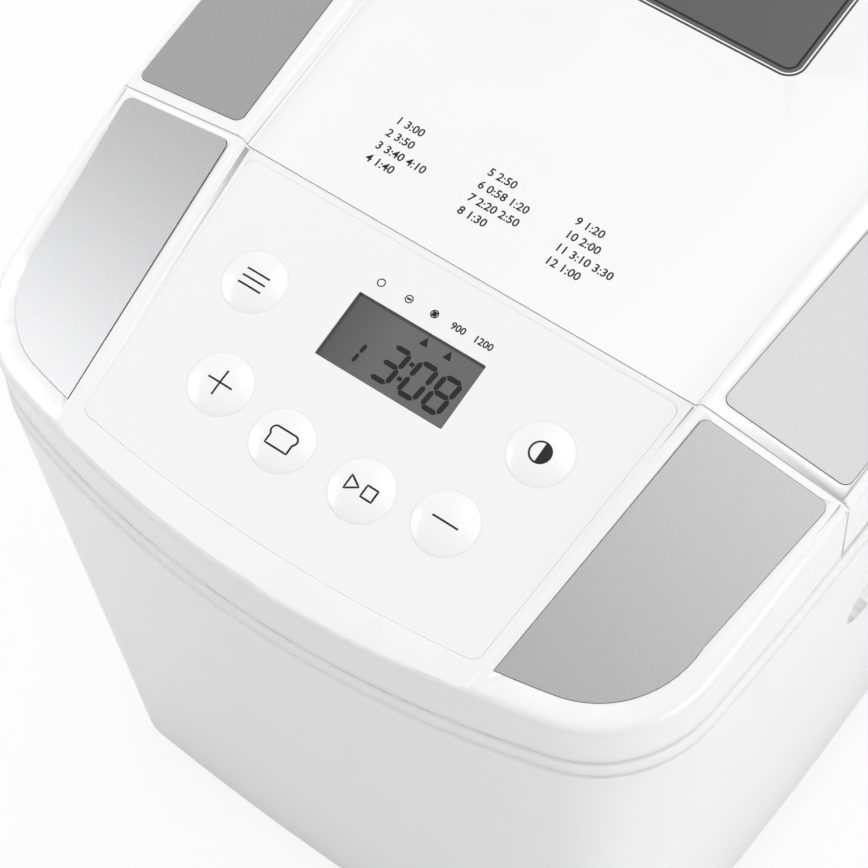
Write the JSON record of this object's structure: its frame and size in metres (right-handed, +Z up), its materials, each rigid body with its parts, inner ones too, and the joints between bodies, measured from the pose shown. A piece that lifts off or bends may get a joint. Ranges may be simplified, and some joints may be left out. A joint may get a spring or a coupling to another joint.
{
  "type": "bread machine",
  "caption": "White countertop bread machine with a hinged windowed lid, sloping six-key control panel, lift-out pan and belt-driven kneading paddle",
  "frame": {"origin": "on the floor, at the middle of the footprint", "axes": "+X to the user's right, +Y to the back, +Z up; the user stands at -Y"},
  "size_m": [0.2646, 0.36, 0.3002],
  "materials": {
    "white_plastic": "glossy moulded white",
    "white_key": "soft glossy white domes",
    "panel_film": "fine matte printed film",
    "silver_inlay": "fine-grained satin silver",
    "lcd_glass": "clear lens over a grey display",
    "window_glass": "dark tinted glass",
    "grey_plastic": "moulded grey",
    "dark_plastic": "moulded dark",
    "black_rubber": "soft black",
    "seal_rubber": "soft grey silicone",
    "zinc_steel": "zinc plated",
    "bright_steel": "bright plated",
    "oven_steel": "bright galvanised sheet",
    "cast_aluminium": "die cast, bare",
    "heater_tube": "oxidised dark tube",
    "bearing_brass": "sintered bronze",
    "dark_metal": "dark lacquer",
    "green_board": "circuit board lacquer",
    "copper_winding": "taped copper winding",
    "nonstick_coat": "dark nonstick coating with fine flecks"
  },
  "bodies": {
    "housing": {"outer_housing": "white_plastic", "base_plate": "grey_plastic", "rubber_feet": "black_rubber", "base_screws": "zinc_steel", "top_deck": "white_plastic", "control_overlay": "panel_film", "lcd_lens": "lcd_glass", "lcd_module": "dark_plastic", "front_inlay_left": "silver_inlay", "front_inlay_right": "silver_inlay", "control_board": "green_board", "key_switches": "dark_plastic", "oven_chamber": "oven_steel", "heating_element": "heater_tube", "element_clips": "oven_steel", "temperature_probe": "bright_steel", "thermal_fuse": "bright_steel", "pan_socket": "cast_aluminium", "drive_bearing": "bearing_brass", "chassis_frame": "zinc_steel", "motor_body": "dark_metal", "motor_mounts": "black_rubber", "drive_belt": "black_rubber", "power_board": "green_board", "transformer": "copper_winding", "capacitor": "cast_aluminium", "cord_inlet": "black_rubber"},
    "lid": {"lid_shell": "white_plastic", "lid_inlay_left": "silver_inlay", "lid_inlay_right": "silver_inlay", "lid_window": "window_glass", "window_gasket": "black_rubber", "lid_liner": "oven_steel", "lid_seal": "seal_rubber", "hinge_pins": "bright_steel", "lid_screws": "zinc_steel"},
    "pan": {"bread_pan": "nonstick_coat", "pan_base": "cast_aluminium", "pan_bush": "bearing_brass", "pan_ears": "bright_steel"},
    "handle": {"pan_handle": "bright_steel"},
    "paddle": {"kneading_paddle": "nonstick_coat", "pan_shaft": "bright_steel", "pan_coupling": "cast_aluminium"},
    "drive": {"drive_shaft": "bright_steel", "drive_dog": "cast_aluminium", "large_pulley": "grey_plastic", "shaft_ring": "bright_steel"},
    "rotor": {"motor_shaft": "bright_steel", "motor_pulley": "grey_plastic", "motor_fan": "grey_plastic"},
    "menu_key_body": {"menu_key": "white_key"},
    "crust_key_body": {"crust_key": "white_key"},
    "plus_key_body": {"plus_key": "white_key"},
    "minus_key_body": {"minus_key": "white_key"},
    "loaf_key_body": {"loaf_key": "white_key"},
    "start_key_body": {"start_key": "white_key"}
  },
  "joints": [
    {"name": "lid_hinge", "type": "hinge", "parent": "housing", "child": "lid", "pos_m": [0, 0.173, 0.2655], "axis": [-1, 0, 0], "range_deg": [0, 78]},
    {"name": "pan_lift", "type": "slide", "parent": "housing", "child": "pan", "axis": [0, 0, 1], "range_m": [0, 0.03]},
    {"name": "handle_swing", "type": "hinge", "parent": "pan", "child": "handle", "pos_m": [0, 0.052, 0.21], "axis": [1, 0, 0], "range_deg": [0, 32]},
    {"name": "drive_spin", "type": "hinge", "parent": "housing", "child": "drive", "pos_m": [0, 0.052, 0.034], "axis": [0, 0, 1], "continuous": true},
    {"name": "paddle_spin", "type": "hinge", "parent": "pan", "child": "paddle", "pos_m": [0, 0.052, 0.09], "axis": [0, 0, 1], "continuous": true},
    {"name": "motor_spin", "type": "hinge", "parent": "housing", "child": "rotor", "pos_m": [-0.045, -0.112, 0.034], "axis": [0, 0, 1], "continuous": true},
    {"name": "menu_key_press", "type": "slide", "parent": "housing", "child": "menu_key_body", "axis": [0, 0.1132, -0.9936], "range_m": [0, 0.0008], "stiffness_N_per_m": 200},
    {"name": "crust_key_press", "type": "slide", "parent": "housing", "child": "crust_key_body", "axis": [0, 0.1132, -0.9936], "range_m": [0, 0.0008], "stiffness_N_per_m": 200},
    {"name": "plus_key_press", "type": "slide", "parent": "housing", "child": "plus_key_body", "axis": [0, 0.1132, -0.9936], "range_m": [0, 0.0008], "stiffness_N_per_m": 200},
    {"name": "minus_key_press", "type": "slide", "parent": "housing", "child": "minus_key_body", "axis": [0, 0.1132, -0.9936], "range_m": [0, 0.0008], "stiffness_N_per_m": 200},
    {"name": "loaf_key_press", "type": "slide", "parent": "housing", "child": "loaf_key_body", "axis": [0, 0.1132, -0.9936], "range_m": [0, 0.0008], "stiffness_N_per_m": 200},
    {"name": "start_key_press", "type": "slide", "parent": "housing", "child": "start_key_body", "axis": [0, 0.1132, -0.9936], "range_m": [0, 0.0008], "stiffness_N_per_m": 200}
  ],
  "couplings": [
    {"joint": "paddle_spin", "follows": "drive_spin", "ratio": 1},
    {"joint": "motor_spin", "follows": "drive_spin", "ratio": 5}
  ]
}
